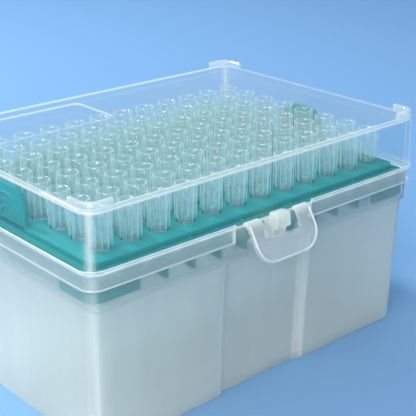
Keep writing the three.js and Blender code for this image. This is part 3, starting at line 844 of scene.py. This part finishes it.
class TIPBOX_OT_tips(bpy.types.Operator):
    """Builds one fluted tip and stands ninety-six of it in the tray"""

    bl_idname = "tipbox.tips"
    bl_label = "Tips"

    def execute(self, context):
        sizes, colours = context.scene.tip_box_sizes, context.scene.tip_box_colours
        clear = clear_plastic(
            "clear_polypropylene_tip", colours.tip, 0.065, 0.5, 0.9, 2.3, 0.09, 0.09, 0.0, 1.2
        )
        mesh = self.tip(mm(sizes.rib_height))
        mesh.materials.append(clear)
        names = [f"{chr(65 + r)}{c + 1}" for r in range(8) for c in range(12)]
        for name, (x, y) in zip(names, grid(mm(sizes.pitch))):
            node = f"tip_{name}"
            known = (node,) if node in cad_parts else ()
            placed(mesh, f"fluted_tip_{name}", "base", known, (x, y, 0))
        return {"FINISHED"}

    def tip(self, rib):
        """One tip's mesh, from (radius, z, flute, edge) places up its outside and down its bore.

        The collar's foot has no milk, so that the teal under it shows.
        """
        low, high = TIP_LOW.z, TIP_HIGH.z
        outer = [(0.42, low, 0, 0.1), (0.5, low + 0.4, 0, 0), (1.33, low + 18.7, 0, 0)]
        outer += [(1.42, low + 19.4, 0, 0), (2.5, low + 39.7, 0, -1.5)]
        outer += [(2.62, low + 39.9, 0, -1.5), (2.66, low + 40.1, 0.6, -1.5)]
        outer += [(2.7, low + 40.6, 1, -0.25), (2.72, low + 42.2, 1, -0.03)]
        outer += [(2.76, low + 46.2, 1, 0), (2.78, low + 46.8, 0.8, 0.1)]
        outer += [(2.98, low + 47.0, 0, 0.2), (3.04, low + 47.4, 0, 0)]
        outer += [(3.08, high - 0.35, 0, 0), (3.02, high - 0.08, 0, 0.35), (2.9, high, 0, 0.4)]
        inner = [(2.72, high - 0.03, 0, 0.2), (2.56, high - 0.14, 0, 0.1)]
        inner += [(2.42, high - 0.32, 0, 0), (2.33, high - 0.58, 0, 0)]
        inner += [(2.28, high - 0.95, 0, 0), (2.26, high - 1.5, 0, 0)]
        # The milk low in the bore is painted light: a pale layer over the dark, shaded hole seen
        # down the mouth.
        inner += [(2.22, high - 6, 0, 0), (2.1, low + 41, 0, 0.1), (2.0, low + 37, 0, 0.3)]
        inner += [(0.95, low + 19, 0, 0.1), (0.25, low, 0, 0.1)]
        rings = []
        for radius, z, flute, edge in outer + inner:
            points = []
            for k in range(TIP_SIDES):
                angle = 2 * math.pi * k / TIP_SIDES
                r = radius + flute * rib * FLUTE[k % len(FLUTE)]
                points.append((r * math.cos(angle), r * math.sin(angle), z))
            rings.append((points, edge))
        bm = bmesh.new()
        skin(bm, rings, loop=True)
        shine = bm.verts.layers.float["edge"]
        for vert in bm.verts:
            up = vert.co.z / MM - low - FLUTE_LOW
            if math.hypot(vert.co.x, vert.co.y) / MM > FLUTE_REACH and 0 < up < FLUTE_LENGTH:
                vert[shine] += FLUTE_MILK
        bmesh.ops.recalc_face_normals(bm, faces=bm.faces)
        mesh = bpy.data.meshes.new("tip")
        bm.to_mesh(mesh)
        bm.free()
        mesh.shade_smooth()
        mesh.set_sharp_from_angle(angle=math.radians(50))
        return mesh


# The lid's walls stand outside the base's band, on a seat just over its rim.
LID_OVER_BAND = 1.05
WALL_HALF = (BAND_HALF[0] + LID_OVER_BAND, BAND_HALF[1] + LID_OVER_BAND)
WALL_RADIUS = 4.65
SKIRT_INSET = 0.8
SKIRT_Z = RIM_Z - 3.6
SEAT_Z = RIM_Z + 0.3
BEAD_Z = RIM_Z + 0.9
NOTCH_HALF = 14.1
LUG_HEIGHT = 1.9
LABEL_FROM_END = 5.9
LABEL_FROM_BACK = 8.0
LABEL_SIZE = (45.6, 20.5)


class TIPBOX_OT_lid(bpy.types.Operator):
    """Builds the clear lid with its skirt, bead, stacking lugs, label frame and hinge knuckles"""

    bl_idname = "tipbox.lid"
    bl_label = "Lid"

    def execute(self, context):
        sizes, colours = context.scene.tip_box_sizes, context.scene.tip_box_colours
        clear = clear_plastic(
            "clear_polypropylene_lid", colours.lid, 0.004, 0.8, 0.5, 8.0, 0.04, 0.07, 0.01, 6
        )
        top = LID_HIGH.z - LUG_HEIGHT
        wall, roof = mm(sizes.lid_wall), mm(sizes.lid_top)

        def ring(inset, z, edge=0.0):
            """A ring of the lid's walls, let in from their foot."""
            half = (WALL_HALF[0] - inset, WALL_HALF[1] - inset)
            return level(outline(half, max(WALL_RADIUS - inset, 1.0)), z), edge

        bm = bmesh.new()
        # Down from the ceiling to the seat, and up the outside to the top.
        rings = [ring(wall + 2.4, top - roof), ring(wall + 1.4, top - roof)]
        rings += [ring(wall + 0.6, top - roof - 0.3, 0.1)]
        rings += [ring(wall + 0.35, top - roof - 1.1), ring(wall, SEAT_Z + 0.3)]
        rings += [ring(wall - 0.1, SEAT_Z, 0.5), ring(0.1, SEAT_Z, 0.5), ring(0.0, SEAT_Z + 0.3)]
        rings += [ring(0.0, BEAD_Z + 0.9), ring(0.3, top - 1.1, 0.0), ring(0.36, top - 0.75, 0.9)]
        rings += [ring(0.55, top - 0.3, 0.6), ring(0.9, top - 0.05, 0.35), ring(1.25, top, 0.8)]
        rings += [ring(2.0, top)]
        skin(bm, rings)
        # A painted highlight up each corner of the lid.
        paint_corner_highlights(bm, WALL_HALF, 0.5, SEAT_Z, top - 0.9)
        self.skirt(bm, mm(sizes.skirt_wall))
        self.lugs(bm, sizes, top)
        self.label(bm, top)
        self.knuckles(bm, sizes)
        if len(bm.faces) < 100:
            fail(self, "the lid came out empty")
        piece(bm, "lid_shell", clear, "lid", ("lid",), 32)
        return {"FINISHED"}

    def skirt(self, bm, wall):
        """The skirt that laps over the band, with the bead above it, open at the latch."""
        inner, outer = -SKIRT_INSET, wall - SKIRT_INSET
        profile = [
            (inner, SKIRT_Z + 0.15, 0.4),
            (inner + 0.15, SKIRT_Z, 1),
            (outer - 0.2, SKIRT_Z, 1),
            (outer, SKIRT_Z + 0.2, 0.8),
            (outer, SKIRT_Z + 0.5, 0),
            (outer, BEAD_Z - 0.15, 0),
            (outer + 0.05, BEAD_Z - 0.05, 0.9),
            (outer + 0.2, BEAD_Z + 0.05, 1),
            (outer + 0.2, BEAD_Z + 0.42, 0.0),
            (outer + 0.2, BEAD_Z + 0.8, 1),
            (outer + 0.1, BEAD_Z + 0.9, 1),
            (0.03, BEAD_Z + 0.9, 0.15),
            (0.03, SEAT_Z, 0),
            (inner, SEAT_Z, 0),
        ]
        lip = NOTCH_HALF + 0.5
        marks = [(-lip, 0), (-NOTCH_HALF, 0), (NOTCH_HALF, 0), (lip, 0)]
        half = WALL_HALF
        total = len(outline(half, WALL_RADIUS, marks))
        border(bm, profile, half, WALL_RADIUS, marks, first=2, count=total)
        shine = bm.verts.layers.float["edge"]
        for vert in bm.verts:
            if abs(abs(vert.co.x) / MM - NOTCH_HALF) < 0.02 and vert.co.y < 0:
                vert[shine] = 1.0

    def lugs(self, bm, sizes, top):
        """The L-shaped lugs that hold the box stacked on this one."""
        inset, leg, wall = 0.45, mm(sizes.lug_leg), mm(sizes.lug_wall)
        half = (WALL_HALF[0] - inset, WALL_HALF[1] - inset)
        high = LID_HIGH.z
        profile = [
            (0.0, top - 0.3, 0.2),
            (-0.1, top + 0.3, 0.2),
            (-0.15, high - 0.3, 0.35),
            (-0.35, high, 0.45),
            (0.3 - wall, high, 0.3),
            (0.05 - wall, high - 0.25, 0.5),
            (-wall, top - 0.3, 0.2),
        ]
        runs = [[(leg - whole, 0), (whole - leg, 0)] for whole in half]
        step = ARC_STEPS + 3
        radius = WALL_RADIUS - inset
        for corner in range(4):
            border(bm, profile, half, radius, *runs, first=corner * step + 1, count=step)

    def label(self, bm, top):
        """The thin raised outline that a label goes in, with painted shade along its front, whose
        lit face is turned away.
        """
        back = LABEL_FROM_BACK + LABEL_SIZE[1]
        low = Vector((LABEL_FROM_END - WALL_HALF[0], WALL_HALF[1] - back))
        high = low + Vector(LABEL_SIZE)
        middle = (low + high) / 2
        start = len(bm.verts)
        profile = [(0, top - 0.1, 0.2), (-0.2, top + 0.3, 0.65)]
        profile += [(-0.6, top + 0.3, 0.65), (-0.8, top - 0.1, 0.2)]
        border(bm, profile, (high - low) / 2, 2.5)
        bm.verts.ensure_lookup_table()
        shine = bm.verts.layers.float["edge"]
        for vert in bm.verts[start:]:
            # Painted shade: the front run keeps about a third of its whiteness.
            vert[shine] *= 0.35 if vert.co.y < (low - middle).y * MM * 0.8 else 1.0
            vert.co += Vector((middle.x, middle.y, 0)) * MM

    def knuckles(self, bm, sizes):
        """Split knuckles that snap over the pins, each with the tail that stops the lid."""
        outer, bore, slit = 2.9, mm(sizes.pin_radius) + HINGE_GAP, 1.2
        gap = math.degrees(math.asin(slit / outer))
        mouth = math.degrees(math.asin(slit / bore))
        shape = arc((PIN_Y, PIN_Z), outer, gap - 90, -24, 6)
        drop = math.radians(-14)
        reach = LID_HIGH.y - PIN_Y - 0.25
        for out, up in ((reach, -0.7), (reach, 0.7)):
            shape.append(
                (
                    PIN_Y + out * math.cos(drop) - up * math.sin(drop),
                    PIN_Z + out * math.sin(drop) + up * math.cos(drop),
                )
            )
        shape += arc((PIN_Y, PIN_Z), outer, -3, 60, 6)
        shape += [(WALL_HALF[1] + 0.3, RIM_Z), (WALL_HALF[1] - 0.3, RIM_Z)]
        shape += [(WALL_HALF[1] - 0.3, SKIRT_Z + 0.1)]
        shape += arc((PIN_Y, PIN_Z), outer, 190, 270 - gap, 5)
        shape += arc((PIN_Y, PIN_Z), bore, 270 - mouth, mouth - 90, 16)
        for x in HINGE_STATIONS:
            plate(bm, shape, 2 * KNUCKLE_HALF, 0.15, place=across(x))


# How far below the base's rim the latch's window ends.
SILL_DROP = 2.5


def bent_run():
    """The latch's outer line from its root to its foot, as (y, z) points."""
    root, top, foot = LATCH_HIGH.y, LATCH_HIGH.z, LATCH_LOW.z
    out, drop = root - LATCH_LOW.y - 0.35, top - foot
    places = [(0, 0), (0.2, 0.02), (0.32, 0.08), (0.42, 0.17), (0.61, 0.34)]
    places += [(0.78, 0.54), (0.89, 0.71), (0.97, 0.88), (1, 1)]
    return eased([(root - u * out, top - v * drop) for u, v in places], 0.9, 3)


class TIPBOX_OT_latch(bpy.types.Operator):
    """Builds the bent latch flap with its two arms, window and rolled edge"""

    bl_idname = "tipbox.latch"
    bl_label = "Latch"

    def execute(self, context):
        sizes, colours = context.scene.tip_box_sizes, context.scene.tip_box_colours
        natural = clear_plastic(
            "natural_polypropylene_latch", colours.latch, 0.2, 0.6, 0.4, 3.0, 0.06, 0.16, 0.06, 3
        )
        run = [Vector(p) for p in bent_run()]
        steps = [0.0]
        for here, there in zip(run, run[1:]):
            steps.append(steps[-1] + (there - here).length)
        whole = steps[-1]
        sill = next(s for s, p in zip(steps, run) if p.y < RIM_Z - SILL_DROP)
        wall, half, radius = mm(sizes.latch_wall), LATCH_HIGH.x, 6.0
        # The flap is drawn flat, as (x, distance from the root), and then folded.
        face = [(-half, 0.0)]
        face += [(x, whole - y) for x, y in arc((radius - half, radius), radius, 180, 270, 10)]
        face += [(x, whole - y) for x, y in arc((half - radius, radius), radius, 270, 360, 10)]
        # The window between the arms is a little wider at the root.
        window = eased([(6.6, 0.0), (5.6, sill), (-5.6, sill), (-6.6, 0.0)], 0.9, 3)
        face += [(half, 0.0)] + window
        bm = bmesh.new()
        plate(bm, face[::-1], wall, 0.2, cuts=28)
        inset, start = 0.5, 2.2
        rim = [(inset - half, start)]
        rim += [(x * (half - inset) / half, y - inset) for x, y in face[1:23]]
        rim += [(half - inset, start)]
        rod(bm, [(x, y, wall / 2 + 0.05) for x, y in rim], 0.3)

        def fold(point):
            """A point of the flat flap, carried onto its bent course."""
            s, t = point.y / MM, point.z / MM - wall / 2
            s = min(max(s, 0.0), whole)
            k = max(i for i, step in enumerate(steps[:-1]) if step <= s + 1e-9)
            here, there = run[k], run[k + 1]
            at = here.lerp(there, (s - steps[k]) / (steps[k + 1] - steps[k]))
            before, after = run[max(k - 1, 0)], run[min(k + 2, len(run) - 1)]
            way = (after - before).normalized()
            out = Vector((way.y, -way.x))
            spot = at + out * t
            return Vector((point.x, spot.x * MM, spot.y * MM))

        # The arms are whitest at their roots, and the whiteness fades out over a few millimetres.
        shine = bm.verts.layers.float.get("edge") or bm.verts.layers.float.new("edge")
        for vert in bm.verts:
            vert[shine] = max(vert[shine], 0.7 * math.exp(-((vert.co.y / MM / 2.5) ** 2)))
            vert.co = fold(vert.co)
        piece(bm, "latch_flap", natural, "latch", ("latch",), 45)
        return {"FINISHED"}


class TIPBOX_OT_stage(bpy.types.Operator):
    """Sets the floor, the soft lamps, the world and the camera"""

    bl_idname = "tipbox.stage"
    bl_label = "Stage"

    def execute(self, context):
        scene = context.scene
        # Dull blue paper: an even ground with no shine.
        paper, tree, output = new_material("matt_paper_floor")
        tone = rgba(scene.tip_box_colours.floor)
        shader = add_node(
            tree,
            "ShaderNodeBsdfPrincipled",
            {"Base Color": tone, "Roughness": 0.9, "Specular IOR Level": 0.1},
        )
        tree.links.new(shader.outputs[0], output.inputs["Surface"])
        bm = bmesh.new()
        bmesh.ops.create_grid(bm, x_segments=1, y_segments=1, size=4.0)
        mesh = bpy.data.meshes.new("floor")
        bm.to_mesh(mesh)
        bm.free()
        mesh.materials.append(paper)
        floor = bpy.data.objects.new("floor", mesh)
        floor.location.z = -0.00005
        scene.collection.objects.link(floor)

        world = bpy.data.worlds.new("soft_room")
        world.use_nodes = True
        sky = world.node_tree.nodes["Background"]
        sky.inputs["Color"].default_value = rgba(srgb("#BBD6F7"))
        sky.inputs["Strength"].default_value = 0.58
        scene.world = world

        # Each lamp's place and size are in metres. The small one draws the tips' bright dots.
        for name, spot, size, watts, tone in (
            ("key", (-0.62, -0.26, 0.6), 0.6, 7.8, "#FFEFE1"),
            ("fill", (-0.42, -0.5, 0.28), 0.45, 2.1, "#FFFBF6"),
            ("back", (0.25, 0.35, 0.95), 0.6, 1.6, "#FFFFFF"),
            ("spark", (-0.16, 0.7, 0.72), 0.13, 9.5, "#FFFFFF"),
        ):
            lamp = bpy.data.lights.new(name, "AREA")
            lamp.color = srgb(tone)
            lamp.size = size
            lamp.energy = watts
            holder = bpy.data.objects.new(name, lamp)
            holder.location = spot
            aim = Vector((0, 0, 0.04)) - holder.location
            holder.rotation_mode = "QUATERNION"
            holder.rotation_quaternion = aim.to_track_quat("-Z", "Y")
            scene.collection.objects.link(holder)

        lens = bpy.data.cameras.new("camera")
        lens.lens = 90.4
        lens.sensor_width = 36
        lens.shift_x = -0.048
        lens.shift_y = -0.048
        lens.dof.use_dof = False
        camera = bpy.data.objects.new("camera", lens)
        camera.location = Vector((-183.39, -226.34, 155.89)) * MM
        azimuth, drop, roll = math.radians(42.27), math.radians(20.47), math.radians(0.25)
        forward = Vector(
            (
                math.sin(azimuth) * math.cos(drop),
                math.cos(azimuth) * math.cos(drop),
                -math.sin(drop),
            )
        )
        camera.rotation_mode = "QUATERNION"
        camera.rotation_quaternion = (
            Matrix.Rotation(-roll, 3, forward).to_quaternion() @ forward.to_track_quat("-Z", "Y")
        )
        scene.collection.objects.link(camera)
        scene.camera = camera
        scene.view_settings.view_transform = "Standard"
        scene.cycles.transparent_max_bounces = 128
        return {"FINISHED"}


class TIPBOX_PT_panel(bpy.types.Panel):
    """Lists the pieces and the values that they are built from"""

    bl_idname = "TIPBOX_PT_panel"
    bl_label = "Tip box"
    bl_space_type = "VIEW_3D"
    bl_region_type = "UI"
    bl_category = "Tip box"

    def draw(self, context):
        layout = self.layout
        for group in (context.scene.tip_box_sizes, context.scene.tip_box_colours):
            box = layout.box()
            for key in group.__annotations__:
                box.prop(group, key)
        for operator in OPERATORS:
            layout.operator(operator.bl_idname)


OPERATORS = (
    TIPBOX_OT_base,
    TIPBOX_OT_tray,
    TIPBOX_OT_tips,
    TIPBOX_OT_lid,
    TIPBOX_OT_latch,
    TIPBOX_OT_stage,
)
CLASSES = (TipBoxSizes, TipBoxColours, *OPERATORS, TIPBOX_PT_panel)


def register():
    """Makes the classes and the two groups of values known to Blender."""
    for cls in CLASSES:
        bpy.utils.register_class(cls)
    bpy.types.Scene.tip_box_sizes = bpy.props.PointerProperty(type=TipBoxSizes)
    bpy.types.Scene.tip_box_colours = bpy.props.PointerProperty(type=TipBoxColours)


def unregister():
    """Takes them away again."""
    del bpy.types.Scene.tip_box_colours
    del bpy.types.Scene.tip_box_sizes
    for cls in reversed(CLASSES):
        bpy.utils.unregister_class(cls)


def main():
    """Builds the box and its stage."""
    register()
    bpy.ops.tipbox.base()
    bpy.ops.tipbox.tray()
    bpy.ops.tipbox.tips()
    bpy.ops.tipbox.lid()
    bpy.ops.tipbox.latch()
    bpy.ops.tipbox.stage()


if __name__ == "__main__":
    main()
